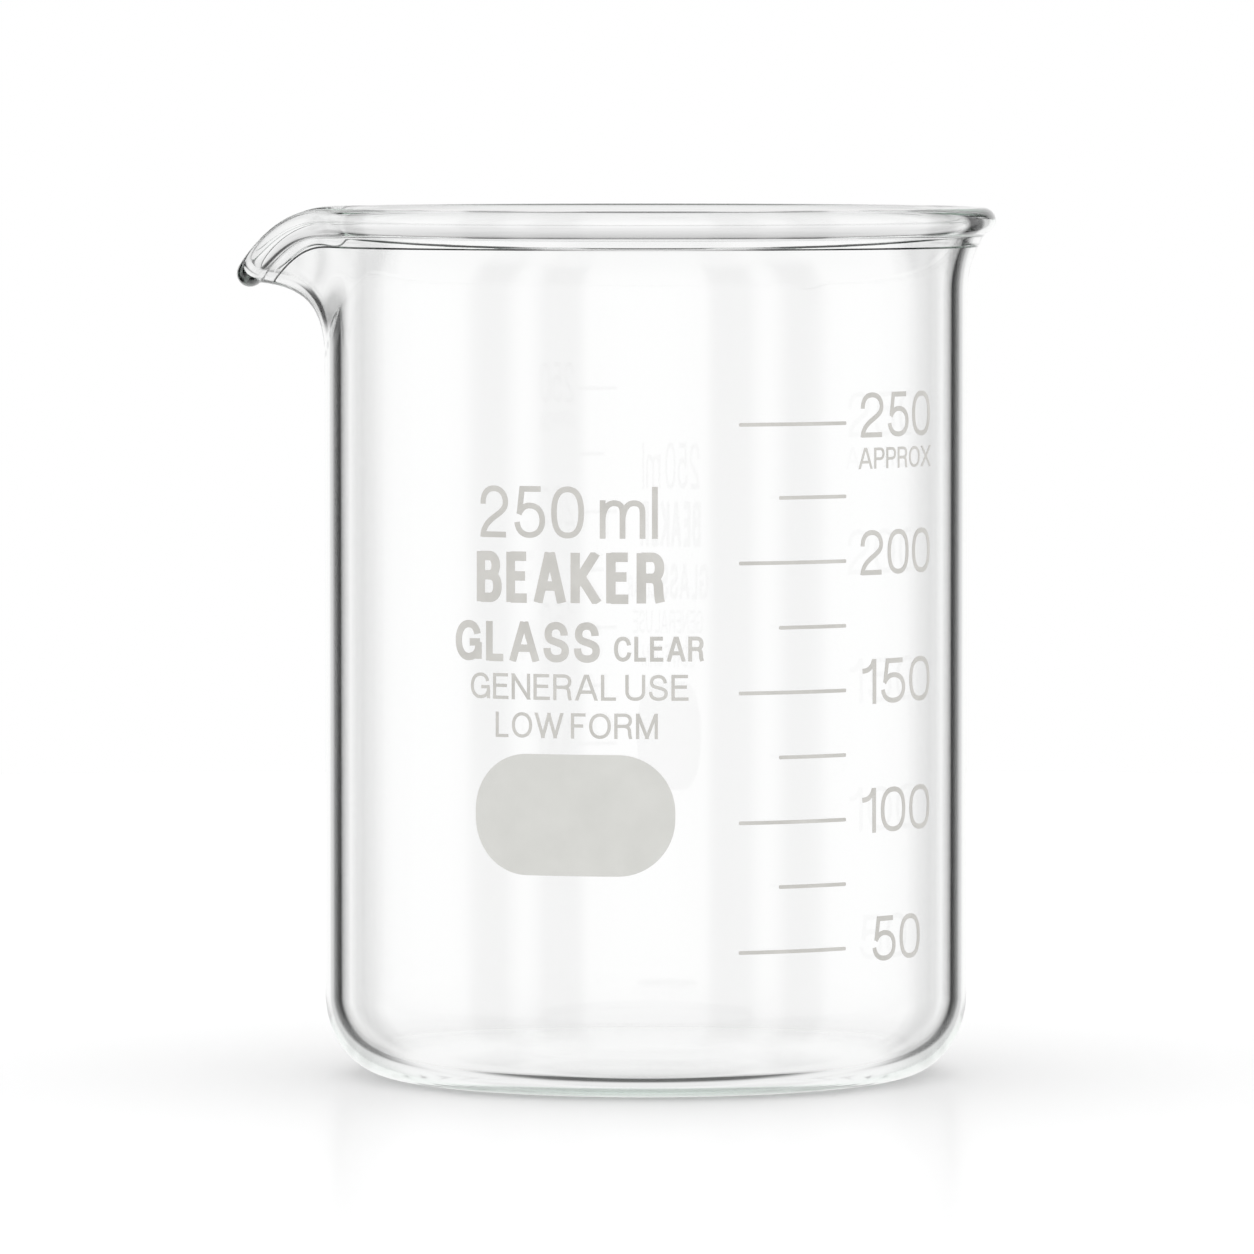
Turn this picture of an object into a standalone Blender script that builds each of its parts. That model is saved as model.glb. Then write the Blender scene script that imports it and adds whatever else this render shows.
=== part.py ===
"""A low-form 250 ml glass beaker: one glass vessel, with enamel marks fired on its wall.

Metres, +Z up. The origin is the centre of the flat resting face, and the wall turns about Z.
The spout points to -X and the printed marks face -Y.
"""

import math

import bpy
from mathutils import Vector
from mathutils.geometry import delaunay_2d_cdt

MM = 0.001

# The body of the vessel.
HEIGHT = 94.5 * MM
OUTER_RADIUS = 35.0 * MM
WALL = 1.75 * MM
BASE_THICKNESS = 2.0 * MM

# The rounded corner between wall and base, outside and inside, as quarter ellipses.
CORNER_WIDTH = 7.3 * MM
CORNER_HEIGHT = 8.9 * MM
INNER_CORNER_WIDTH = 5.55 * MM
INNER_CORNER_HEIGHT = 6.9 * MM

# The mouth: the wall leans out to a round bead.
BEAD_RADIUS = 1.45 * MM
MOUTH_REACH = 1.6 * MM          # from the body's outer face out to the bead's centre line
FLARE_DEPTH = 9.5 * MM          # from the rim down to where the wall starts to lean
FLARE_LEAN = math.radians(28.0)  # the wall's lean from upright where it meets the bead
NECK_SHARPNESS = 6.0            # how tightly the bead blends into the wall

# The spout, pulled out and down from the mouth.
SPOUT_REACH = 6.5 * MM
SPOUT_DROP = 5.75 * MM
SPOUT_DEPTH = 16.5 * MM
SPOUT_LEAN = math.radians(87.0)
SPOUT_HALF_ANGLE = math.radians(28.0)
SPOUT_NARROWING = 3.2           # higher gives a slimmer spout

# The handles of the curve that the wall follows from the body to the bead.
FLARE_HANDLES = (3.3 * MM, 3.2 * MM)
SPOUT_HANDLES = (6.2 * MM, 6.5 * MM)

# Enamel marks, each a thin plate bent round the wall.
ENAMEL = 0.15 * MM
ENAMEL_GAP = 0.3 * MM
LINE_WEIGHT = 0.4 * MM
REGULAR = 0.115                 # stroke width of the lettering, as a share of its height
PLATE_PITCH = 1.6 * MM          # the widest flat facet across a bent plate

# The scale. Places along the wall are arc lengths from the -Y side, +X way positive.
SCALE_FOOT = 15.9 * MM          # height of the 50 ml mark
SCALE_HEADROOM = 22.6 * MM      # from the 250 ml mark up to the rim
TOP_MARK_RISE = 0.9 * MM        # the 250 ml mark stands this much above the even steps
LINE_RIGHT = 22.8 * MM
LONG_LINE = 12.9 * MM
SHORT_LINE = 8.35 * MM
DIGIT_HEIGHT = 4.8 * MM
DIGIT_DROP = 1.6 * MM           # the digits' foot below their line
DIGITS_LEFT = 24.6 * MM
DIGITS_WIDTH = 12.2 * MM
APPROX_HEIGHT = 2.25 * MM
APPROX_DROP = 1.1 * MM          # below the foot of the 250

# The capacity and the marking spot, left of the scale.
CAPACITY_LEFT = -18.65 * MM
CAPACITY_WIDTH = 19.85 * MM
CAPACITY_HEIGHT = 5.5 * MM
CAPACITY_HEADROOM = 34.6 * MM   # from the foot of the characters up to the rim
SPOT_CENTRE = -8.0 * MM
SPOT_FOOT = 24.1 * MM
SPOT_WIDTH = 22.1 * MM
SPOT_HEIGHT = 12.9 * MM
SPOT_CORNER = 6.1 * MM

# Facets.
SEGMENTS = 72
CORNER_STEPS = 5
FLARE_STEPS = (0.0, 0.2, 0.38, 0.54, 0.68, 0.79, 0.88, 0.94, 1.0)
BEAD_STEPS = 6
CURVE_STEPS = 4
ROUND_STEPS = 5

# What follows from the sizes above.
MID_RADIUS = OUTER_RADIUS - WALL / 2
INNER_RADIUS = OUTER_RADIUS - WALL
BEAD_CENTRE_RADIUS = OUTER_RADIUS + MOUTH_REACH
TOP_MARK = HEIGHT - SCALE_HEADROOM
MARK_STEP = (TOP_MARK - TOP_MARK_RISE - SCALE_FOOT) / 4

# Each character: its width as a share of its height, how tall it is, and the centre lines of its
# strokes in a box from 0 to 1 each way. M moves, L draws a line, C a curve. Strokes that run past
# the box are cut level at the character's foot and top.
CHARACTERS = {
    "0": (0.68, 1.0, "M 0 .5 C 0 .85 .18 1 .5 1 C .82 1 1 .85 1 .5 C 1 .15 .82 0 .5 0 C .18 0 0 .15 0 .5"),
    "1": (0.38, 1.0, "M 1 1.1 L 1 -.1 M 0 .77 C .5 .77 .8 .85 .95 1.05"),
    "2": (0.66, 1.0, "M .04 .66 C .04 .88 .2 1 .5 1 C .78 1 .98 .88 .98 .7 C .98 .4 .06 .4 .03 -.06 M 0 0 L 1 0"),
    "5": (0.66, 1.0, "M .94 1 L .2 1 L .09 .45 M .07 .45 C .2 .6 .34 .64 .5 .64 C .8 .64 1 .52 1 .32"
                     " C 1 .12 .8 0 .49 0 C .22 0 .03 .1 0 .28"),
    "A": (0.80, 1.0, "M -.04 -.1 L .48 1.1 M 1.04 -.1 L .52 1.1 M .14 .3 L .86 .3"),
    "P": (0.64, 1.0, "M 0 -.1 L 0 1.1 M 0 1 L .55 1 C .85 1 1 .9 1 .73 C 1 .56 .85 .46 .55 .46 L 0 .46"),
    "R": (0.70, 1.0, "M 0 -.1 L 0 1.1 M 0 1 L .55 1 C .82 1 .96 .9 .96 .75 C .96 .6 .82 .5 .55 .5 L 0 .5"
                     " M .55 .5 C .82 .48 .9 .4 .91 .25 C .92 .1 .94 .04 1 -.08"),
    "O": (0.84, 1.0, "M 0 .5 C 0 .8 .2 1 .5 1 C .8 1 1 .8 1 .5 C 1 .2 .8 0 .5 0 C .2 0 0 .2 0 .5"),
    "X": (0.80, 1.0, "M -.08 -.1 L 1.08 1.1 M -.08 1.1 L 1.08 -.1"),
    "m": (0.92, 0.74, "M 0 -.1 L 0 1.1 M 0 .5 C .02 .85 .14 1 .28 1 C .44 1 .5 .9 .5 .7 L .5 -.1"
                      " M .5 .5 C .52 .85 .64 1 .78 1 C .94 1 1 .9 1 .7 L 1 -.1"),
    "l": (0.12, 1.0, "M 0 -.1 L 0 1.1"),
}
CHARACTER_GAP = 0.13            # between characters, as a share of their height
WORD_GAP = 0.32


def clear_scene():
    for obj in list(bpy.data.objects):
        bpy.data.objects.remove(obj)


def glass_material():
    material = bpy.data.materials.new("borosilicate_glass")
    material.use_nodes = True
    shader = material.node_tree.nodes["Principled BSDF"]
    shader.inputs["Base Color"].default_value = (0.93, 0.96, 0.95, 1.0)
    shader.inputs["Roughness"].default_value = 0.0
    shader.inputs["Metallic"].default_value = 0.0
    shader.inputs["IOR"].default_value = 1.474
    shader.inputs["Transmission Weight"].default_value = 1.0
    return material


def enamel_material():
    material = bpy.data.materials.new("grey_white_enamel")
    material.use_nodes = True
    shader = material.node_tree.nodes["Principled BSDF"]
    shader.inputs["Base Color"].default_value = (0.66, 0.65, 0.62, 1.0)
    shader.inputs["Roughness"].default_value = 0.5
    shader.inputs["Metallic"].default_value = 0.0
    return material


def add_object(name, points, faces, material, sharp_angle):
    mesh = bpy.data.meshes.new(name)
    mesh.from_pydata(points, [], faces)
    mesh.validate()
    mesh.shade_smooth()
    mesh.set_sharp_from_angle(angle=sharp_angle)
    mesh.materials.append(material)
    obj = bpy.data.objects.new(name, mesh)
    bpy.context.scene.collection.objects.link(obj)
    return obj


def blend(a, b, share):
    return a + (b - a) * share


def bezier(a, b, c, d, t):
    return a * (1 - t) ** 3 + b * 3 * t * (1 - t) ** 2 + c * 3 * t * t * (1 - t) + d * t ** 3


# The vessel's rows run from the base's edge up the outside, over the bead and down the inside.
# An azimuth is measured from the spout.

def spout_share(azimuth):
    """How far the rim is pulled out at this azimuth: 1 at the spout's tip, 0 beyond its sides."""
    turn = abs(math.remainder(azimuth, 2 * math.pi))
    if turn >= SPOUT_HALF_ANGLE:
        return 0.0
    return math.cos(math.pi / 2 * turn / SPOUT_HALF_ANGLE) ** SPOUT_NARROWING


def around(radius, azimuth, height):
    return Vector((-radius * math.cos(azimuth), -radius * math.sin(azimuth), height))


def wall_middle(azimuth, t):
    """The middle of the wall's thickness, from the body (t = 0) to the bead's centre (t = 1)."""
    pull = spout_share(azimuth)
    lean = blend(FLARE_LEAN, SPOUT_LEAN, pull)
    lower = blend(FLARE_HANDLES[0], SPOUT_HANDLES[0], pull)
    upper = blend(FLARE_HANDLES[1], SPOUT_HANDLES[1], pull)
    foot = Vector((MID_RADIUS, HEIGHT - blend(FLARE_DEPTH, SPOUT_DEPTH, pull)))
    bead_height = HEIGHT - half_thickness(0.0) - SPOUT_DROP * pull ** 2
    bead = Vector((BEAD_CENTRE_RADIUS + SPOUT_REACH * pull, bead_height))
    up = Vector((0.0, lower))
    along = Vector((math.sin(lean), math.cos(lean))) * upper
    radius, height = bezier(foot, foot + up, bead - along, bead, t)
    return around(radius, azimuth, height)


def wall_frame(azimuth, t):
    """The middle point, the outward normal and the direction up the wall."""
    step = 1e-4
    here = wall_middle(azimuth, t)
    round_the_rim = wall_middle(azimuth + step, t) - wall_middle(azimuth - step, t)
    up_the_wall = wall_middle(azimuth, min(t + step, 1.0)) - wall_middle(azimuth, max(t - step, 0.0))
    normal = round_the_rim.cross(up_the_wall).normalized()
    return here, normal, normal.cross(round_the_rim).normalized()


def half_thickness(distance):
    """Half the wall's thickness at this distance below the bead's centre, with the neck's fillet."""
    bead = math.sqrt(max(BEAD_RADIUS ** 2 - distance ** 2, 0.0))
    return (bead ** NECK_SHARPNESS + (WALL / 2) ** NECK_SHARPNESS) ** (1 / NECK_SHARPNESS)


def flare_row(azimuth, t, side):
    here, normal, _ = wall_frame(azimuth, t)
    distance = (wall_middle(azimuth, 1.0) - here).length
    return here + normal * side * half_thickness(distance)


def bead_point(azimuth, angle):
    centre, normal, up = wall_frame(azimuth, 1.0)
    radius = half_thickness(0.0)
    return centre + (normal * math.cos(angle) + up * math.sin(angle)) * radius


def corner_profile(edge, floor, width, height):
    """A quarter ellipse from the flat base or floor out to the wall."""
    points = []
    for i in range(CORNER_STEPS + 1):
        turn = math.pi / 2 * i / CORNER_STEPS
        radius = edge - width + width * math.sin(turn)
        points.append((radius, floor + height - height * math.cos(turn)))
    return points


def vessel_column(azimuth):
    """All the vessel's points at one azimuth, in order."""
    outside = corner_profile(OUTER_RADIUS, 0.0, CORNER_WIDTH, CORNER_HEIGHT)
    inside = corner_profile(INNER_RADIUS, BASE_THICKNESS, INNER_CORNER_WIDTH, INNER_CORNER_HEIGHT)
    column = [around(radius, azimuth, height) for radius, height in outside]
    column += [flare_row(azimuth, t, 1) for t in FLARE_STEPS]
    column += [bead_point(azimuth, math.pi * i / BEAD_STEPS) for i in range(1, BEAD_STEPS)]
    column += [flare_row(azimuth, t, -1) for t in reversed(FLARE_STEPS)]
    column += [around(radius, azimuth, height) for radius, height in reversed(inside)]
    return column


def glass_vessel(material):
    columns = [vessel_column(2 * math.pi * i / SEGMENTS) for i in range(SEGMENTS)]
    rows = len(columns[0])
    points = [point for column in columns for point in column]
    faces = []
    for i in range(SEGMENTS):
        here, there = i * rows, (i + 1) % SEGMENTS * rows
        for j in range(rows - 1):
            faces.append((here + j, there + j, there + j + 1, here + j + 1))
    faces.append(tuple(i * rows for i in reversed(range(SEGMENTS))))
    faces.append(tuple(i * rows + rows - 1 for i in range(SEGMENTS)))
    return add_object("glass_vessel", points, faces, material, math.radians(40))


# Enamel. A shape is a list of convex flat pieces, which may overlap: its plate is their union.

def plate(name, pieces, material):
    """A thin plate in the shape of the pieces, bent round the wall. They hold (arc, height) points."""
    corners = [Vector(point) for piece in pieces for point in piece]
    faces = []
    for piece in pieces:
        start = sum(len(face) for face in faces)
        faces.append(list(range(start, start + len(piece))))
    low, high = min(c.y for c in corners), max(c.y for c in corners)
    left, right = min(c.x for c in corners), max(c.x for c in corners)
    bends = math.ceil((right - left) / PLATE_PITCH)
    edges = []
    for i in range(1, bends):
        arc = blend(left, right, i / bends)
        edges.append((len(corners), len(corners) + 1))
        corners += [Vector((arc, low - WALL)), Vector((arc, high + WALL))]
    flat, _, triangles, _, _, covered = delaunay_2d_cdt(corners, edges, faces, 0, 1e-7)
    shape = [tuple(t) for t, within in zip(triangles, covered) if within]
    inner, outer = OUTER_RADIUS + ENAMEL_GAP, OUTER_RADIUS + ENAMEL_GAP + ENAMEL
    points = [bent(point, inner) for point in flat] + [bent(point, outer) for point in flat]
    used = sorted({corner for triangle in shape for corner in triangle})
    order = {corner: place for place, corner in enumerate(used)}
    count = len(used)
    solid = [tuple(order[c] + count for c in t) for t in shape]
    solid += [tuple(order[c] for c in reversed(t)) for t in shape]
    sides = {(t[i], t[(i + 1) % 3]) for t in shape for i in range(3)}
    for a, b in sorted(sides):
        if (b, a) not in sides:
            solid.append((order[a], order[b], order[b] + count, order[a] + count))
    kept = [points[c] for c in used] + [points[c + len(flat)] for c in used]
    return add_object(name, kept, solid, material, math.radians(30))


def bent(point, radius):
    """A flat (arc, height) point on the wall, at this radius. Arcs are measured on the glass."""
    angle = point.x / OUTER_RADIUS
    return Vector((radius * math.sin(angle), -radius * math.cos(angle), point.y))


def rounded_rectangle(left, foot, width, height, corner):
    points = []
    for quarter in range(4):
        x = left + (corner if quarter in (1, 2) else width - corner)
        y = foot + (corner if quarter in (2, 3) else height - corner)
        for i in range(ROUND_STEPS + 1):
            turn = math.pi / 2 * (quarter + i / ROUND_STEPS)
            points.append((x + corner * math.cos(turn), y + corner * math.sin(turn)))
    return [points]


def stroke_paths(text):
    """The centre lines written in a character's text, as lists of points."""
    words = text.split()
    paths = []
    while words:
        letter = words.pop(0)
        numbers = [float(words.pop(0)) for _ in range(6 if letter == "C" else 2)]
        ends = [Vector(numbers[i:i + 2]) for i in range(0, len(numbers), 2)]
        if letter == "M":
            paths.append(ends)
        elif letter == "L":
            paths[-1].append(ends[0])
        else:
            start = paths[-1][-1]
            paths[-1] += [bezier(start, *ends, i / CURVE_STEPS) for i in range(1, CURVE_STEPS + 1)]
    return paths


def stroke_pieces(path, weight):
    """One flat piece for each stretch of a stroke, mitred to the next."""
    closed = (path[0] - path[-1]).length < 1e-9
    ways = [(b - a).normalized() for a, b in zip(path, path[1:])]
    edges = []
    for i, point in enumerate(path):
        before = ways[i - 1] if i or closed else ways[0]
        after = ways[i % len(ways)] if i < len(ways) or closed else ways[-1]
        middle = (before + after).normalized()
        across = Vector((-middle.y, middle.x)) * weight / 2 / middle.dot(after)
        edges.append((point + across, point - across))
    return [[a[1], b[1], b[0], a[0]] for a, b in zip(edges, edges[1:])]


def cut_level(piece, height, above):
    """The part of a flat piece above or below a height."""
    side = 1 if above else -1
    kept = []
    for a, b in zip(piece, piece[1:] + piece[:1]):
        if (a.y - height) * side >= 0:
            kept.append(a)
        if (a.y - height) * (b.y - height) < 0:
            kept.append(a.lerp(b, (height - a.y) / (b.y - a.y)))
    return kept


def character_pieces(character, left, foot, width, height, weight):
    """The flat pieces of one character whose outline fills this box."""
    inset = weight / 2
    pieces = []
    for path in stroke_paths(CHARACTERS[character][2]):
        placed = [Vector((left + inset + p.x * (width - weight), foot + inset + p.y * (height - weight)))
                  for p in path]
        for piece in stroke_pieces(placed, weight):
            piece = cut_level(cut_level(piece, foot, True), foot + height, False)
            if len(piece) > 2:
                pieces.append(piece)
    return pieces


def lettering(names, text, left, foot, width, height, material):
    """A line of characters, stretched to the width, each its own plate with its own name."""
    places, end = [], 0.0
    for character in text:
        if character == " ":
            end += WORD_GAP - CHARACTER_GAP
            continue
        share, tall, _ = CHARACTERS[character]
        places.append((character, end, share, tall))
        end += share + CHARACTER_GAP
    stretch = width / (end - CHARACTER_GAP)
    for name, (character, start, share, tall) in zip(names, places):
        pieces = character_pieces(character, left + start * stretch, foot, share * stretch,
                                  tall * height, REGULAR * height)
        plate(name, pieces, material)


def scale_marks(material):
    """Nine lines, the five volumes beside the long ones, and APPROX under the highest."""
    for volume in range(50, 251, 25):
        rise = TOP_MARK_RISE if volume == 250 else 0.0
        height = SCALE_FOOT + MARK_STEP * (volume - 50) / 50 + rise
        length = LONG_LINE if volume % 50 == 0 else SHORT_LINE
        shape = rounded_rectangle(LINE_RIGHT - length, height - LINE_WEIGHT / 2, length, LINE_WEIGHT,
                                  LINE_WEIGHT * 0.4)
        plate(f"line_{volume}", shape, material)
        if volume % 50:
            continue
        digits = str(volume)
        width = DIGITS_WIDTH * len(digits) / 3
        left = DIGITS_LEFT + (DIGITS_WIDTH - width) / 2
        places = ("hundreds", "tens", "units")[-len(digits):]
        names = [f"digit_{volume}_{place}" for place in places]
        lettering(names, digits, left, height - DIGIT_DROP, width, DIGIT_HEIGHT, material)
    foot = TOP_MARK - DIGIT_DROP - APPROX_DROP - APPROX_HEIGHT
    names = [f"approx_{i}_{letter}" for i, letter in enumerate("APPROX", 1)]
    lettering(names, "APPROX", DIGITS_LEFT, foot, DIGITS_WIDTH, APPROX_HEIGHT, material)


def capacity_and_spot(material):
    names = [f"capacity_{i}_{letter}" for i, letter in enumerate("250ml", 1)]
    foot = HEIGHT - CAPACITY_HEADROOM
    lettering(names, "250 ml", CAPACITY_LEFT, foot, CAPACITY_WIDTH, CAPACITY_HEIGHT, material)
    shape = rounded_rectangle(SPOT_CENTRE - SPOT_WIDTH / 2, SPOT_FOOT, SPOT_WIDTH, SPOT_HEIGHT, SPOT_CORNER)
    plate("marking_spot", shape, material)


def main():
    clear_scene()
    glass_vessel(glass_material())
    enamel = enamel_material()
    scale_marks(enamel)
    capacity_and_spot(enamel)


main()
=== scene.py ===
"""The looks of a low-form 250 ml glass beaker: clear glass, fired enamel print and a white studio.

Metres, +Z up, in the frame of the CAD model. The spout points to -X and the print faces -Y.
"""

import math

import bpy
import numpy as np
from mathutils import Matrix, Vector
from mathutils.geometry import delaunay_2d_cdt


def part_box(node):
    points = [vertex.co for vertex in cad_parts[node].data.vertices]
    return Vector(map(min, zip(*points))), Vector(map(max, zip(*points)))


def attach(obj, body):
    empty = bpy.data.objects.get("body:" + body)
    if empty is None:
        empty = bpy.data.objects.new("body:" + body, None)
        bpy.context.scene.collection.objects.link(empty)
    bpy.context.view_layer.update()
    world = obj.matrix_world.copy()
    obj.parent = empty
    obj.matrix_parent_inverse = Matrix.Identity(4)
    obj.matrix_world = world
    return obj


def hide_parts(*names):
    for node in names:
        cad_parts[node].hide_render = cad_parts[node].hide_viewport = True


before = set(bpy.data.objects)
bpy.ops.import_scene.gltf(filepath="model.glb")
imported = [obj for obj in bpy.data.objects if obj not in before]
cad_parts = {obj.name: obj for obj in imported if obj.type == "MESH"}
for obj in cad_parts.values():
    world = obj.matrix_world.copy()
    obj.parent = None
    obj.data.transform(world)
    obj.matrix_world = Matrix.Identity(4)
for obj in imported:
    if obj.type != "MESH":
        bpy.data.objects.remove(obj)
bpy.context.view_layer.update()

MM = 0.001

# Sizes read from the CAD vessel.
VESSEL_LOW, VESSEL_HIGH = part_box("glass_vessel")
VESSEL_POINTS = np.array([vertex.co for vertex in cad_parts["glass_vessel"].data.vertices])
VESSEL_RADII = np.hypot(VESSEL_POINTS[:, 0], VESSEL_POINTS[:, 1])
HEIGHT = VESSEL_HIGH[2]
LOWER_HALF = VESSEL_POINTS[:, 2] < HEIGHT / 2
OUTER_RADIUS = float(VESSEL_RADII[LOWER_HALF].max())
INNER_RADIUS = float(VESSEL_RADII[~LOWER_HALF].min())
WALL = OUTER_RADIUS - INNER_RADIUS

# The rest of the vessel's shape, as the CAD vessel has it.
BASE_THICKNESS = 2.0 * MM
CORNER_WIDTH = 7.3 * MM
CORNER_HEIGHT = 8.9 * MM
INNER_CORNER_WIDTH = 5.55 * MM
INNER_CORNER_HEIGHT = 6.9 * MM
BEAD_RADIUS = 1.45 * MM
NECK_SHARPNESS = 6.0
FLARE_DEPTH = 9.5 * MM
FLARE_LEAN = math.radians(28.0)
FLARE_HANDLES = (3.3 * MM, 3.2 * MM)
SPOUT_DROP = 5.75 * MM
SPOUT_DEPTH = 16.5 * MM
SPOUT_LEAN = math.radians(87.0)
SPOUT_HANDLES = (6.2 * MM, 6.5 * MM)
SPOUT_HALF_ANGLE = math.radians(28.0)
SPOUT_NARROWING = 3.2

# A fine groove round the outside, just below the bead: how far below the bead's centre it is, its
# size, and how late it runs out towards the spout's tip.
GROOVE_PLACE = 2.6 * MM
GROOVE_HALF_WIDTH = 0.11 * MM
GROOVE_DEPTH = 0.42 * MM
GROOVE_RUN_OUT = 4

# How finely the glass is cut.
SEGMENTS = 384
CORNER_STEPS = 32
NECK_DEPTH = 3.4 * MM
NECK_STEPS = 40
GROOVE_STEPS = 12
GROOVE_MARGIN = 1.2             # the rows reach a little past the groove's edges
FLARE_STEPS = 24
FLARE_SAMPLES = 400
BEAD_STEPS = 28
FLOOR_STEPS = 24
WALL_STEPS = 24
SLOPE_STEP = 1e-4               # for the slopes that give the wall's normals


def blend(a, b, share):
    return a + (b - a) * share


def bezier(a, b, c, d, t):
    return a * (1 - t) ** 3 + b * 3 * t * (1 - t) ** 2 + c * 3 * t * t * (1 - t) + d * t ** 3


def half_thickness(distance):
    """Half the wall's thickness at this distance below the bead's centre, with the neck's fillet."""
    bead = np.sqrt(np.maximum(BEAD_RADIUS ** 2 - distance ** 2, 0.0))
    return (bead ** NECK_SHARPNESS + (WALL / 2) ** NECK_SHARPNESS) ** (1 / NECK_SHARPNESS)


BEAD_HALF = float(half_thickness(0.0))
MID_RADIUS = OUTER_RADIUS - WALL / 2
BEAD_CENTRE_RADIUS = VESSEL_HIGH[0] - BEAD_HALF
SPOUT_REACH = -VESSEL_LOW[0] - VESSEL_HIGH[0]


def spout_share(azimuth):
    """How far the rim is pulled out at each azimuth: 1 at the spout's tip, 0 beyond its sides."""
    turn = np.abs((azimuth + math.pi) % (2 * math.pi) - math.pi)
    wave = np.cos(math.pi / 2 * np.minimum(turn / SPOUT_HALF_ANGLE, 1.0))
    return np.maximum(wave, 0.0) ** SPOUT_NARROWING


def groove(distance, azimuth):
    """How deep the groove under the bead cuts into the outside: it runs out at the spout's tip."""
    share = np.clip(1.0 - np.abs(distance - GROOVE_PLACE) / GROOVE_HALF_WIDTH, 0.0, 1.0)
    return GROOVE_DEPTH * share * (1.0 - spout_share(azimuth) ** GROOVE_RUN_OUT)


def around(radius, azimuth, height):
    """Points at these radii, azimuths from the spout and heights."""
    radius, azimuth, height = np.broadcast_arrays(radius, azimuth, height)
    return np.stack([-radius * np.cos(azimuth), -radius * np.sin(azimuth), height], axis=-1)


def wall_middle(azimuth, t):
    """The middle of the wall's thickness, from the body (t = 0) to the bead's centre (t = 1)."""
    pull = spout_share(azimuth)
    lean = blend(FLARE_LEAN, SPOUT_LEAN, pull)
    lower = blend(FLARE_HANDLES[0], SPOUT_HANDLES[0], pull)
    upper = blend(FLARE_HANDLES[1], SPOUT_HANDLES[1], pull)
    foot = HEIGHT - blend(FLARE_DEPTH, SPOUT_DEPTH, pull)
    bead_radius = BEAD_CENTRE_RADIUS + SPOUT_REACH * pull
    bead_height = HEIGHT - BEAD_HALF - SPOUT_DROP * pull ** 2
    radius = bezier(MID_RADIUS, MID_RADIUS, bead_radius - upper * np.sin(lean), bead_radius, t)
    height = bezier(foot, foot + lower, bead_height - upper * np.cos(lean), bead_height, t)
    return around(radius, azimuth, height)


def wall_frame(azimuth, t):
    """The middle points, the outward normals and the directions up the wall."""
    here = wall_middle(azimuth, t)
    below = wall_middle(azimuth, np.maximum(t - SLOPE_STEP, 0.0))
    above = wall_middle(azimuth, np.minimum(t + SLOPE_STEP, 1.0))
    round_the_rim = wall_middle(azimuth + SLOPE_STEP, t) - wall_middle(azimuth - SLOPE_STEP, t)
    normal = np.cross(round_the_rim, above - below)
    normal /= np.linalg.norm(normal, axis=-1, keepdims=True)
    up = np.cross(normal, round_the_rim)
    return here, normal, up / np.linalg.norm(up, axis=-1, keepdims=True)


def flare_places(azimuth):
    """Places t of the flare's rows at each azimuth: close together in the neck, further apart below it."""
    samples = np.linspace(0.0, 1.0, FLARE_SAMPLES + 1)
    middle = wall_middle(azimuth, samples[None, :])
    distance = np.linalg.norm(middle - middle[:, -1:], axis=-1)
    cut = GROOVE_PLACE + GROOVE_HALF_WIDTH * np.linspace(-GROOVE_MARGIN, GROOVE_MARGIN, GROOVE_STEPS + 1)
    neck = np.sort(np.concatenate([np.linspace(0.0, NECK_DEPTH, NECK_STEPS + 1), cut]))
    places = []
    for row in distance:
        below = np.linspace(NECK_DEPTH, row[0], FLARE_STEPS + 1)[1:]
        places.append(np.interp(np.concatenate([neck, below]), row[::-1], samples[::-1])[::-1])
    return np.array(places)


def flare_rows(azimuth, side):
    """The wall's outer (side 1) or inner (side -1) face from the body up to the bead."""
    here, normal, _ = wall_frame(azimuth, flare_places(azimuth))
    distance = np.linalg.norm(wall_middle(azimuth, 1.0) - here, axis=-1)
    thickness = half_thickness(distance)
    if side == 1:
        thickness = thickness - groove(distance, azimuth)
    return here + normal * (side * thickness)[..., None]


def bead_rows(azimuth):
    centre, normal, up = wall_frame(azimuth, 1.0)
    angle = np.linspace(0.0, math.pi, BEAD_STEPS + 1)[None, 1:-1, None]
    return centre + (normal * np.cos(angle) + up * np.sin(angle)) * BEAD_HALF


def corner_rows(azimuth, edge, floor, width, height):
    """A quarter ellipse from the flat base or floor out to the wall."""
    turn = np.linspace(0.0, math.pi / 2, CORNER_STEPS + 1)[None, :]
    return around(edge - width + width * np.sin(turn), azimuth, floor + height - height * np.cos(turn))


def wall_rows(foot, top):
    """Rows of the straight wall between the corner's last row and the flare's first."""
    share = np.linspace(0.0, 1.0, WALL_STEPS + 1)[None, 1:-1, None]
    return blend(foot, top, share)


def floor_rows(azimuth, edge, height):
    """Rows of a flat disc, from near its centre to just inside its edge."""
    radius = edge * np.linspace(0.0, 1.0, FLOOR_STEPS + 1)[None, 1:-1]
    return around(radius, azimuth, height)


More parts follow.
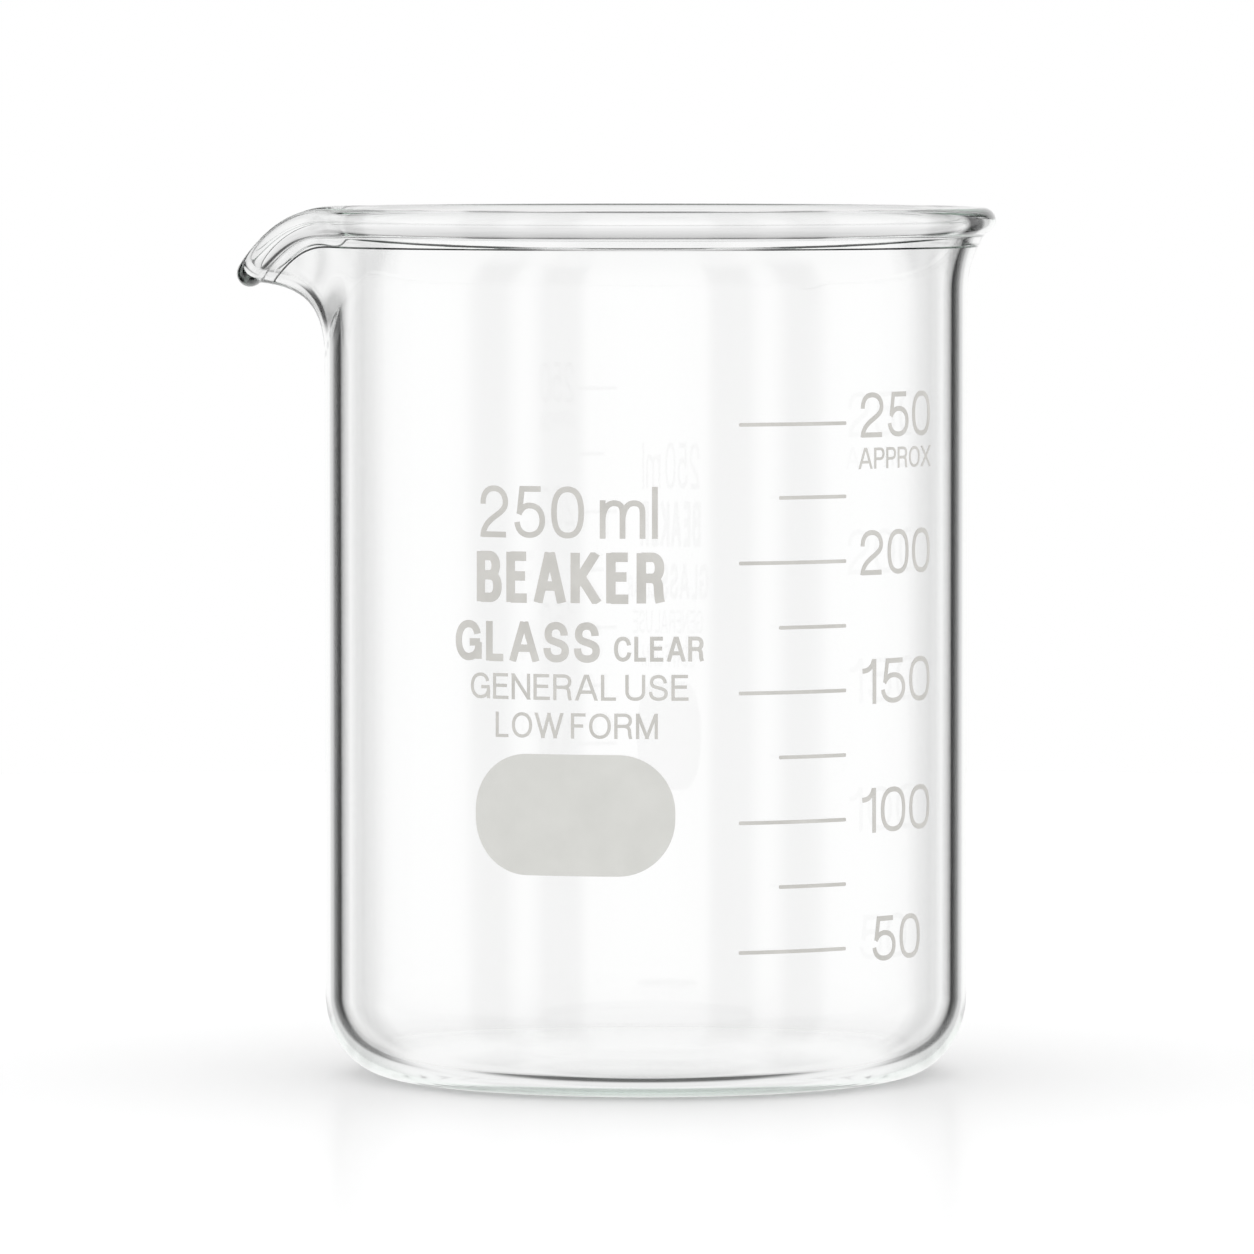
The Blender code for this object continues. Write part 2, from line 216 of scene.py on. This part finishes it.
def glass_grid():
    """The vessel's whole surface as a grid: azimuth by row, from under the base round to the floor."""
    azimuth = np.linspace(0.0, 2 * math.pi, SEGMENTS, endpoint=False)[:, None]
    outer_corner = corner_rows(azimuth, OUTER_RADIUS, 0.0, CORNER_WIDTH, CORNER_HEIGHT)
    inner_corner = corner_rows(azimuth, INNER_RADIUS, BASE_THICKNESS,
                               INNER_CORNER_WIDTH, INNER_CORNER_HEIGHT)
    outer_flare = flare_rows(azimuth, 1)
    inner_flare = flare_rows(azimuth, -1)
    stretches = [
        floor_rows(azimuth, OUTER_RADIUS - CORNER_WIDTH, 0.0),
        outer_corner,
        wall_rows(outer_corner[:, -1:], outer_flare[:, :1]),
        outer_flare,
        bead_rows(azimuth),
        inner_flare[:, ::-1],
        wall_rows(inner_flare[:, :1], inner_corner[:, -1:]),
        inner_corner[:, ::-1],
        floor_rows(azimuth, INNER_RADIUS - INNER_CORNER_WIDTH, BASE_THICKNESS)[:, ::-1],
    ]
    return np.concatenate(stretches, axis=1)


def add_mesh(name, points, faces, material):
    mesh = bpy.data.meshes.new(name)
    mesh.from_pydata(points, [], faces)
    mesh.materials.append(material)
    obj = bpy.data.objects.new(name, mesh)
    bpy.context.scene.collection.objects.link(obj)
    return obj


def glass_vessel(material):
    grid = glass_grid()
    rows = grid.shape[1]
    points = [tuple(point) for point in grid.reshape(-1, 3)]
    under, floor = len(points), len(points) + 1
    points += [(0.0, 0.0, 0.0), (0.0, 0.0, BASE_THICKNESS)]
    faces = []
    for i in range(SEGMENTS):
        here, there = i * rows, (i + 1) % SEGMENTS * rows
        faces.append((under, there, here))
        for j in range(rows - 1):
            faces.append((here + j, there + j, there + j + 1, here + j + 1))
        faces.append((floor, here + rows - 1, there + rows - 1))
    vessel = add_mesh("clear_glass_vessel", points, faces, material)
    vessel.data.shade_smooth()
    return vessel


# Enamel print. Each mark is a thin plate on the glass, bent round the wall.
ENAMEL = 0.035 * MM
ENAMEL_LIFT = 0.01 * MM
PLATE_PITCH = 0.5 * MM
SAME_PLACE = 1e-8
CURVE_STEPS = 14
ROUND_STEPS = 24
LINE_ROUNDING = 0.35
SPOT_CORNER = 6.1 * MM

# Stroke weights, as shares of a character's height.
REGULAR = 0.112
BOLD = 0.185
SMALL_REGULAR = 0.13
SMALL_BOLD = 0.16

# Each character: its width as a share of its height, how tall it is, and the centre lines of its
# strokes in a box from 0 to 1 each way. M moves, L draws a line, C a curve. Strokes that run past
# the box are cut level at the character's foot and top.
CHARACTERS = {
    "0": (0.68, 1.0, "M 0 .5 C 0 .85 .18 1 .5 1 C .82 1 1 .85 1 .5 C 1 .15 .82 0 .5 0 C .18 0 0 .15 0 .5"),
    "1": (0.38, 1.0, "M 1 1.1 L 1 -.1 M 0 .77 C .5 .77 .8 .85 .95 1.05"),
    "2": (0.66, 1.0, "M .04 .66 C .04 .88 .2 1 .5 1 C .78 1 .98 .88 .98 .7 C .98 .4 .06 .4 .03 -.06"
                     " M 0 0 L 1 0"),
    "5": (0.66, 1.0, "M .94 1 L .2 1 L .09 .45 M .07 .45 C .2 .6 .34 .64 .5 .64 C .8 .64 1 .52 1 .32"
                     " C 1 .12 .8 0 .49 0 C .22 0 .03 .1 0 .28"),
    "A": (0.80, 1.0, "M -.04 -.1 L .48 1.1 M 1.04 -.1 L .52 1.1 M .14 .3 L .86 .3"),
    "B": (0.70, 1.0, "M 0 -.1 L 0 1.1 M 0 1 L .5 1 C .78 1 .9 .9 .9 .77 C .9 .64 .78 .54 .5 .54 L 0 .54"
                     " M .5 .54 C .84 .54 1 .44 1 .28 C 1 .1 .84 0 .5 0 L 0 0"),
    "C": (0.76, 1.0, "M .98 .68 C .93 .9 .76 1 .52 1 C .2 1 0 .82 0 .5 C 0 .18 .2 0 .52 0"
                     " C .78 0 .96 .12 1 .34"),
    "E": (0.62, 1.0, "M 0 -.1 L 0 1.1 M 0 1 L 1.08 1 M 0 .53 L 1 .53 M 0 0 L 1.12 0"),
    "F": (0.58, 1.0, "M 0 -.1 L 0 1.1 M 0 1 L 1.12 1 M 0 .5 L .92 .5"),
    "G": (0.80, 1.0, "M .95 .7 C .9 .9 .74 1 .52 1 C .2 1 0 .8 0 .5 C 0 .2 .2 0 .5 0 C .78 0 1 .14 1 .36"
                     " M 1.07 .45 L .56 .45 M 1 .45 L 1 -.06"),
    "K": (0.76, 1.0, "M 0 -.1 L 0 1.1 M -.02 .3 L .98 1.1 M .28 .52 L 1.06 -.1"),
    "L": (0.56, 1.0, "M 0 -.1 L 0 1.1 M 0 0 L 1.1 0"),
    "M": (0.84, 1.0, "M 0 -.1 L 0 1.1 M 1 -.1 L 1 1.1 M -.02 1.12 L .54 -.1 M 1.02 1.12 L .46 -.1"),
    "N": (0.72, 1.0, "M 0 -.1 L 0 1.1 M 1 -.1 L 1 1.1 M -.07 1.1 L 1.07 -.1"),
    "O": (0.84, 1.0, "M 0 .5 C 0 .8 .2 1 .5 1 C .8 1 1 .8 1 .5 C 1 .2 .8 0 .5 0 C .2 0 0 .2 0 .5"),
    "P": (0.64, 1.0, "M 0 -.1 L 0 1.1 M 0 1 L .55 1 C .85 1 1 .9 1 .73 C 1 .56 .85 .46 .55 .46 L 0 .46"),
    "R": (0.70, 1.0, "M 0 -.1 L 0 1.1 M 0 1 L .55 1 C .82 1 .96 .9 .96 .75 C .96 .6 .82 .5 .55 .5 L 0 .5"
                     " M .55 .5 C .82 .48 .9 .4 .91 .25 C .92 .1 .94 .04 1 -.08"),
    "S": (0.68, 1.0, "M .94 .7 C .93 .9 .76 1 .5 1 C .22 1 .06 .9 .06 .74 C .06 .56 .3 .54 .5 .5"
                     " C .76 .45 1 .42 1 .25 C 1 .08 .8 0 .5 0 C .2 0 0 .1 0 .32"),
    "U": (0.72, 1.0, "M 0 1.1 L 0 .35 C 0 .12 .18 0 .5 0 C .82 0 1 .12 1 .35 L 1 1.1"),
    "W": (1.10, 1.0, "M -.04 1.1 L .27 -.1 M .23 -.1 L .52 1.1 M .48 1.1 L .77 -.1 M .73 -.1 L 1.04 1.1"),
    "X": (0.80, 1.0, "M -.08 -.1 L 1.08 1.1 M -.08 1.1 L 1.08 -.1"),
    "m": (0.92, 0.74, "M 0 -.1 L 0 1.1 M 0 .5 C .02 .85 .14 1 .28 1 C .44 1 .5 .9 .5 .7 L .5 -.1"
                      " M .5 .5 C .52 .85 .64 1 .78 1 C .94 1 1 .9 1 .7 L 1 -.1"),
    "l": (0.12, 1.0, "M 0 -.1 L 0 1.1"),
}
CHARACTER_GAP = 0.13            # between characters, as a share of their height
WORD_GAP = 0.32


def bent(point, radius):
    """A flat (arc, height) point on the wall, at this radius. Arcs are measured on the glass."""
    angle = point.x / OUTER_RADIUS
    return (radius * math.sin(angle), -radius * math.cos(angle), point.y)


def plate(name, pieces, material):
    """A thin plate in the shape of the flat pieces' union, bent round the wall."""
    corners = [Vector(point) for piece in pieces for point in piece]
    faces = []
    start = 0
    for piece in pieces:
        faces.append(list(range(start, start + len(piece))))
        start += len(piece)
    low, high = min(c.y for c in corners), max(c.y for c in corners)
    left, right = min(c.x for c in corners), max(c.x for c in corners)
    bends = math.ceil((right - left) / PLATE_PITCH)
    edges = []
    for i in range(1, bends):
        arc = blend(left, right, i / bends)
        edges.append((len(corners), len(corners) + 1))
        corners += [Vector((arc, low - WALL)), Vector((arc, high + WALL))]
    flat, _, triangles, _, _, covered = delaunay_2d_cdt(corners, edges, faces, 0, SAME_PLACE)
    shape = [tuple(t) for t, within in zip(triangles, covered) if within]
    used = sorted({corner for triangle in shape for corner in triangle})
    order = {corner: place for place, corner in enumerate(used)}
    count = len(used)
    inner = OUTER_RADIUS + ENAMEL_LIFT
    points = [bent(flat[c], inner) for c in used] + [bent(flat[c], inner + ENAMEL) for c in used]
    solid = [tuple(order[c] + count for c in t) for t in shape]
    solid += [tuple(order[c] for c in reversed(t)) for t in shape]
    sides = {(t[i], t[(i + 1) % 3]) for t in shape for i in range(3)}
    for a, b in sorted(sides):
        if (b, a) not in sides:
            solid.append((order[a], order[b], order[b] + count, order[a] + count))
    return add_mesh(name, points, solid, material)


def rounded_rectangle(left, foot, width, height, corner):
    points = []
    for quarter in range(4):
        x = left + (corner if quarter in (1, 2) else width - corner)
        y = foot + (corner if quarter in (2, 3) else height - corner)
        for i in range(ROUND_STEPS + 1):
            turn = math.pi / 2 * (quarter + i / ROUND_STEPS)
            points.append((x + corner * math.cos(turn), y + corner * math.sin(turn)))
    return [points]


def stroke_paths(text):
    """The centre lines written in a character's text, as lists of points."""
    words = text.split()
    paths = []
    while words:
        letter = words.pop(0)
        numbers = [float(words.pop(0)) for _ in range(6 if letter == "C" else 2)]
        ends = [Vector(numbers[i:i + 2]) for i in range(0, len(numbers), 2)]
        if letter == "M":
            paths.append(ends)
        elif letter == "L":
            paths[-1].append(ends[0])
        else:
            start = paths[-1][-1]
            paths[-1] += [bezier(start, *ends, i / CURVE_STEPS) for i in range(1, CURVE_STEPS + 1)]
    return paths


def stroke_pieces(path, weight):
    """One flat piece for each stretch of a stroke, mitred to the next."""
    closed = (path[0] - path[-1]).length < SAME_PLACE
    ways = [(b - a).normalized() for a, b in zip(path, path[1:])]
    edges = []
    for i, point in enumerate(path):
        before = ways[i - 1] if i or closed else ways[0]
        after = ways[i % len(ways)] if i < len(ways) or closed else ways[-1]
        middle = (before + after).normalized()
        across = Vector((-middle.y, middle.x)) * weight / 2 / middle.dot(after)
        edges.append((point + across, point - across))
    return [[a[1], b[1], b[0], a[0]] for a, b in zip(edges, edges[1:])]


def cut_level(piece, height, above):
    """The part of a flat piece above or below a height."""
    side = 1 if above else -1
    kept = []
    for a, b in zip(piece, piece[1:] + piece[:1]):
        if (a.y - height) * side >= 0:
            kept.append(a)
        if (a.y - height) * (b.y - height) < 0:
            kept.append(a.lerp(b, (height - a.y) / (b.y - a.y)))
    return kept


def character_pieces(character, left, foot, width, height, weight):
    """The flat pieces of one character whose outline fills this box."""
    inset = weight / 2
    pieces = []
    for path in stroke_paths(CHARACTERS[character][2]):
        placed = [Vector((left + inset + p.x * (width - weight), foot + inset + p.y * (height - weight)))
                  for p in path]
        for piece in stroke_pieces(placed, weight):
            piece = cut_level(cut_level(piece, foot, True), foot + height, False)
            if len(piece) > 2:
                pieces.append(piece)
    return pieces


def line_layout(text, left, width):
    """Where each character of a line starts and how wide it is, stretched to fill the width."""
    places, end = [], 0.0
    for character in text:
        if character == " ":
            end += WORD_GAP - CHARACTER_GAP
            continue
        share = CHARACTERS[character][0]
        places.append((character, end, share))
        end += share + CHARACTER_GAP
    stretch = width / (end - CHARACTER_GAP)
    return [(character, left + start * stretch, share * stretch) for character, start, share in places]


def print_line(text, left, foot, width, height, weight, material, nodes=None, stem="print"):
    """A line of lettering. Each character stands for the CAD node of the same place, if there is one."""
    marks = []
    for i, (character, start, wide) in enumerate(line_layout(text, left, width)):
        tall = CHARACTERS[character][1] * height
        pieces = character_pieces(character, start, foot, wide, tall, weight * height)
        name = f"enamel_{nodes[i]}" if nodes else f"enamel_{stem}_{i + 1}_{character}"
        mark = plate(name, pieces, material)
        if nodes:
            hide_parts(nodes[i])
        marks.append(mark)
    return marks


def arc_box(*nodes):
    """The box of some CAD marks laid flat: left, foot, width and height along the glass."""
    points = []
    for node in nodes:
        points += [vertex.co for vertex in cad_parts[node].data.vertices]
    arcs = [math.atan2(point.x, -point.y) * OUTER_RADIUS for point in points]
    heights = [point.z for point in points]
    return min(arcs), min(heights), max(arcs) - min(arcs), max(heights) - min(heights)


MARKED_VOLUMES = range(50, 251, 25)
NUMBERED_VOLUMES = range(50, 251, 50)


def scale_print(material):
    marks = []
    for volume in MARKED_VOLUMES:
        node = f"line_{volume}"
        left, foot, width, height = arc_box(node)
        shape = rounded_rectangle(left, foot, width, height, height * LINE_ROUNDING)
        mark = plate(f"enamel_{node}", shape, material)
        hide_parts(node)
        marks.append(mark)
    for volume in NUMBERED_VOLUMES:
        places = ("hundreds", "tens", "units")[-len(str(volume)):]
        nodes = [f"digit_{volume}_{place}" for place in places]
        left, foot, width, height = arc_box(*nodes)
        marks += print_line(str(volume), left, foot, width, height, REGULAR, material, nodes)
    nodes = [f"approx_{i}_{letter}" for i, letter in enumerate("APPROX", 1)]
    left, foot, width, height = arc_box(*nodes)
    marks += print_line("APPROX", left, foot, width, height, SMALL_REGULAR, material, nodes)
    return marks


# The plain words under the capacity: text, left, foot, width, height and stroke weight.
WORDS = (
    ("BEAKER", -18.9 * MM, 53.0 * MM, 20.85 * MM, 5.45 * MM, BOLD),
    ("GLASS", -21.6 * MM, 46.75 * MM, 16.65 * MM, 4.3 * MM, BOLD),
    ("CLEAR", -3.45 * MM, 46.9 * MM, 9.55 * MM, 2.65 * MM, SMALL_BOLD),
    ("GENERAL USE", -19.65 * MM, 42.75 * MM, 24.1 * MM, 2.75 * MM, SMALL_REGULAR),
    ("LOW FORM", -16.6 * MM, 38.7 * MM, 17.8 * MM, 2.7 * MM, SMALL_REGULAR),
)


def capacity_print(material):
    nodes = [f"capacity_{i}_{letter}" for i, letter in enumerate("250ml", 1)]
    left, foot, width, height = arc_box(*nodes)
    marks = print_line("250 ml", left, foot, width, height, REGULAR, material, nodes)
    for text, left, foot, width, height, weight in WORDS:
        marks += print_line(text, left, foot, width, height, weight, material, stem=text.split()[0])
    return marks


def marking_spot(material):
    left, foot, width, height = arc_box("marking_spot")
    spot = plate("enamel_marking_spot", rounded_rectangle(left, foot, width, height, SPOT_CORNER), material)
    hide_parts("marking_spot")
    return spot


GLASS_IOR = 1.474
GLASS_TINT = (0.72, 0.86, 0.78, 1.0)
GLASS_TINT_DENSITY = 6.0
# The light and dark tones of the print and of the marking spot, and their mottle and grain.
PRINT_TONES = ((0.66, 0.65, 0.62, 1.0), (0.58, 0.57, 0.54, 1.0))
SPOT_TONES = ((0.72, 0.72, 0.69, 1.0), (0.68, 0.68, 0.65, 1.0))
MOTTLE_SCALE = 260.0
MOTTLE_DETAIL = 4.0
GRAIN_SCALE = 9000.0
GRAIN_HEIGHT = 0.01 * MM
GRAIN_STRENGTH = 0.15


def new_material(name):
    material = bpy.data.materials.new(name)
    material.use_nodes = True
    return material, material.node_tree, material.node_tree.nodes["Principled BSDF"]


def glass_material():
    """Polished glass, faintly green where light travels far inside it."""
    material, tree, shader = new_material("borosilicate_glass")
    shader.inputs["Base Color"].default_value = (1.0, 1.0, 1.0, 1.0)
    shader.inputs["Roughness"].default_value = 0.0
    shader.inputs["IOR"].default_value = GLASS_IOR
    shader.inputs["Transmission Weight"].default_value = 1.0
    volume = tree.nodes.new("ShaderNodeVolumeAbsorption")
    volume.inputs["Color"].default_value = GLASS_TINT
    volume.inputs["Density"].default_value = GLASS_TINT_DENSITY
    output = tree.nodes["Material Output"]
    tree.links.new(volume.outputs[0], output.inputs["Volume"])
    return material


def enamel_material(name, tones):
    """Matt fired enamel: faintly mottled, with fine grain from the screen it was printed through."""
    material, tree, shader = new_material(name)
    place = tree.nodes.new("ShaderNodeTexCoord")
    mottle = tree.nodes.new("ShaderNodeTexNoise")
    mottle.inputs["Scale"].default_value = MOTTLE_SCALE
    mottle.inputs["Detail"].default_value = MOTTLE_DETAIL
    light, dark = tones
    ramp = tree.nodes.new("ShaderNodeValToRGB")
    ramp.color_ramp.elements[0].position = 0.3
    ramp.color_ramp.elements[0].color = dark
    ramp.color_ramp.elements[1].position = 0.7
    ramp.color_ramp.elements[1].color = light
    grain = tree.nodes.new("ShaderNodeTexNoise")
    grain.inputs["Scale"].default_value = GRAIN_SCALE
    bump = tree.nodes.new("ShaderNodeBump")
    bump.inputs["Strength"].default_value = GRAIN_STRENGTH
    bump.inputs["Distance"].default_value = GRAIN_HEIGHT
    tree.links.new(place.outputs["Object"], mottle.inputs["Vector"])
    tree.links.new(place.outputs["Object"], grain.inputs["Vector"])
    tree.links.new(mottle.outputs[0], ramp.inputs[0])
    tree.links.new(ramp.outputs[0], shader.inputs["Base Color"])
    tree.links.new(grain.outputs[0], bump.inputs["Height"])
    tree.links.new(bump.outputs[0], shader.inputs["Normal"])
    shader.inputs["Roughness"].default_value = 0.55
    shader.inputs["Specular IOR Level"].default_value = 0.3
    return material


FLOOR_RADIUS = 0.5
FLOOR_SIDES = 96
FLOOR_DROP = 0.02 * MM


def floor_material():
    """White satin board: mostly its own white, with a soft reflection of what stands on it."""
    material, tree, shader = new_material("white_board")
    diffuse = tree.nodes.new("ShaderNodeBsdfDiffuse")
    diffuse.inputs["Color"].default_value = (0.85, 0.85, 0.85, 1.0)
    glossy = tree.nodes.new("ShaderNodeBsdfGlossy")
    glossy.inputs["Color"].default_value = (0.3, 0.3, 0.3, 1.0)
    glossy.inputs["Roughness"].default_value = 0.25
    both = tree.nodes.new("ShaderNodeAddShader")
    tree.nodes.remove(shader)
    tree.links.new(diffuse.outputs[0], both.inputs[0])
    tree.links.new(glossy.outputs[0], both.inputs[1])
    tree.links.new(both.outputs[0], tree.nodes["Material Output"].inputs["Surface"])
    return material


def studio_floor():
    """A round white board just below the base. The glass shows the bright room in its place."""
    points = [(FLOOR_RADIUS * math.cos(a), FLOOR_RADIUS * math.sin(a), -FLOOR_DROP)
              for a in np.linspace(0, 2 * math.pi, FLOOR_SIDES, endpoint=False)]
    floor = add_mesh("studio_floor", points, [tuple(range(FLOOR_SIDES))], floor_material())
    floor.visible_transmission = False
    floor.visible_glossy = False


# What the glass sees of the studio, each as (degrees, brightness). First by elevation: dark right
# below and above, a bright table, a bright wall and its fading top.
RISE = (
    (-90, 0.03), (-71, 0.05), (-65, 0.8), (-45, 0.9), (-16, 0.95), (-4, 1.0), (0, 1.0),
    (7, 0.87), (15, 0.8), (27, 0.72), (40, 0.6), (46, 0.5), (52, 0.1), (90, 0.03),
)
# By degrees from the middle of the nearest of four bright walls: a dark gap beside each.
SIDE = (
    (0, 1.0), (14, 1.0), (20, 0.92), (21.5, 0.82), (23.5, 0.35), (25.5, 0.1), (28, 0.04),
    (37, 0.03), (40, 0.5), (43, 0.85), (45, 0.9),
)
# The gaps end on the table: they fade out between these elevations.
TABLE_FROM, TABLE_TO = -26, -40
# A slot in the table before each wall, as (degrees, darkness): by elevation and to the side.
SLOT = ((-90, 0.0), (-66, 0.0), (-62, 0.85), (-54, 0.85), (-47, 0.0), (90, 0.0))
SLOT_SIDE = ((0, 1.0), (28, 1.0), (38, 0.0), (45, 0.0))
# How much of the pattern is lost in what a wall mirrors after light has passed through another, and
# in light that is mirrored many times inside the glass.
MIRROR_SOFTENING = 0.8
PASSES_BEFORE_MIRROR = 2.5
MANY_MIRRORS = 5.5
# How much light is lost inside the glass on its way to the floor and the print.
CONTACT_SHADOW = 0.25


def studio_light():
    """A white room for the eye, the floor and the print. Through the glass it has dark gaps."""
    world = bpy.data.worlds.new("white_studio")
    bpy.context.scene.world = world
    world.use_nodes = True
    world.cycles.sampling_method = "NONE"
    tree = world.node_tree
    nodes, links = tree.nodes, tree.links
    background = nodes["Background"]
    place = nodes.new("ShaderNodeTexCoord")
    split = nodes.new("ShaderNodeSeparateXYZ")
    links.new(place.outputs["Generated"], split.inputs[0])

    def maths(operation, *values):
        node = nodes.new("ShaderNodeMath")
        node.operation = operation
        for socket, value in zip(node.inputs, values):
            if isinstance(value, (int, float)):
                socket.default_value = value
            else:
                links.new(value, socket)
        return node.outputs[0]

    def ramp(angle, stops):
        """The value at an angle in radians, from (degrees, value) stops."""
        low, high = stops[0][0], stops[-1][0]
        node = nodes.new("ShaderNodeValToRGB")
        elements = node.color_ramp.elements
        for degrees, _ in stops[1:-1]:
            elements.new((degrees - low) / (high - low))
        for element, (_, value) in zip(elements, stops):
            element.color = (value, value, value, 1.0)
        share = maths("DIVIDE", maths("SUBTRACT", angle, math.radians(low)), math.radians(high - low))
        links.new(share, node.inputs[0])
        return node.outputs[0]

    azimuth = maths("ARCTAN2", split.outputs[0], split.outputs[1])
    elevation = maths("ARCSINE", split.outputs[2])
    to_the_side = maths("PINGPONG", azimuth, math.pi / 4)
    table = nodes.new("ShaderNodeMapRange")
    table.interpolation_type = "SMOOTHSTEP"
    table.inputs["From Min"].default_value = math.radians(TABLE_FROM)
    table.inputs["From Max"].default_value = math.radians(TABLE_TO)
    links.new(elevation, table.inputs["Value"])
    walls = maths("MAXIMUM", ramp(to_the_side, SIDE), table.outputs[0])
    slot = maths("MULTIPLY", ramp(elevation, SLOT), ramp(to_the_side, SLOT_SIDE))
    seen = maths("MULTIPLY", walls, ramp(elevation, RISE))
    seen = maths("MULTIPLY", seen, maths("SUBTRACT", 1.0, slot))

    # Light on its way to the eye through glass sees the pattern. Light for the floor doesn't.
    path = nodes.new("ShaderNodeLightPath")
    mirrors = path.outputs["Glossy Depth"]
    to_eye = maths("LESS_THAN", path.outputs["Diffuse Depth"], 0.5)
    through = maths("MULTIPLY", path.outputs["Is Glossy Ray"], to_eye)
    passed = maths("GREATER_THAN", path.outputs["Transmission Depth"], PASSES_BEFORE_MIRROR)
    far_mirror = maths("MULTIPLY", maths("COMPARE", mirrors, 1.0, 0.5), passed)
    softened = maths("MAXIMUM", far_mirror, maths("GREATER_THAN", mirrors, MANY_MIRRORS))
    kept = maths("SUBTRACT", 1.0, maths("MULTIPLY", softened, MIRROR_SOFTENING))
    pattern = maths("MULTIPLY", maths("MULTIPLY", through, kept), maths("SUBTRACT", 1.0, seen))
    to_floor = maths("SUBTRACT", 1.0, to_eye)
    lost = maths("MULTIPLY", maths("MULTIPLY", to_floor, maths("MINIMUM", mirrors, 1.0)), CONTACT_SHADOW)
    links.new(maths("SUBTRACT", 1.0, maths("ADD", pattern, lost)), background.inputs["Strength"])
    background.inputs["Color"].default_value = (1.0, 1.0, 1.0, 1.0)


# The camera, fitted to the view: a long lens a little above the rim.
CAMERA_DISTANCE = 1130 * MM
CAMERA_HEIGHT = 107.7 * MM
CAMERA_SIDE = -2.07 * MM
AIM_HEIGHT = 48.75 * MM
LENS = 297.85


def add_camera():
    camera = bpy.data.cameras.new("camera")
    camera.lens = LENS
    camera.sensor_width = 36.0
    camera.clip_start = 0.01
    obj = bpy.data.objects.new("camera", camera)
    obj.location = (CAMERA_SIDE, -CAMERA_DISTANCE, CAMERA_HEIGHT)
    aim = Vector((CAMERA_SIDE, 0.0, AIM_HEIGHT)) - obj.location
    obj.rotation_euler = aim.to_track_quat("-Z", "Y").to_euler()
    bpy.context.scene.collection.objects.link(obj)
    bpy.context.scene.camera = obj


def render_look():
    """Light may travel a long way inside the base before it leaves, so it has many bounces."""
    scene = bpy.context.scene
    scene.view_settings.view_transform = "Standard"
    scene.cycles.max_bounces = 64
    scene.cycles.transmission_bounces = 24
    scene.cycles.glossy_bounces = 48
    scene.cycles.use_denoising = True


def main():
    glass = glass_vessel(glass_material())
    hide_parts("glass_vessel")
    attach(glass, "root")
    print_enamel = enamel_material("print_enamel", PRINT_TONES)
    spot_enamel = enamel_material("spot_enamel", SPOT_TONES)
    marks = scale_print(print_enamel) + capacity_print(print_enamel) + [marking_spot(spot_enamel)]
    for mark in marks:
        mark.visible_glossy = False
        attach(mark, "root")
    studio_floor()
    studio_light()
    add_camera()
    render_look()


main()
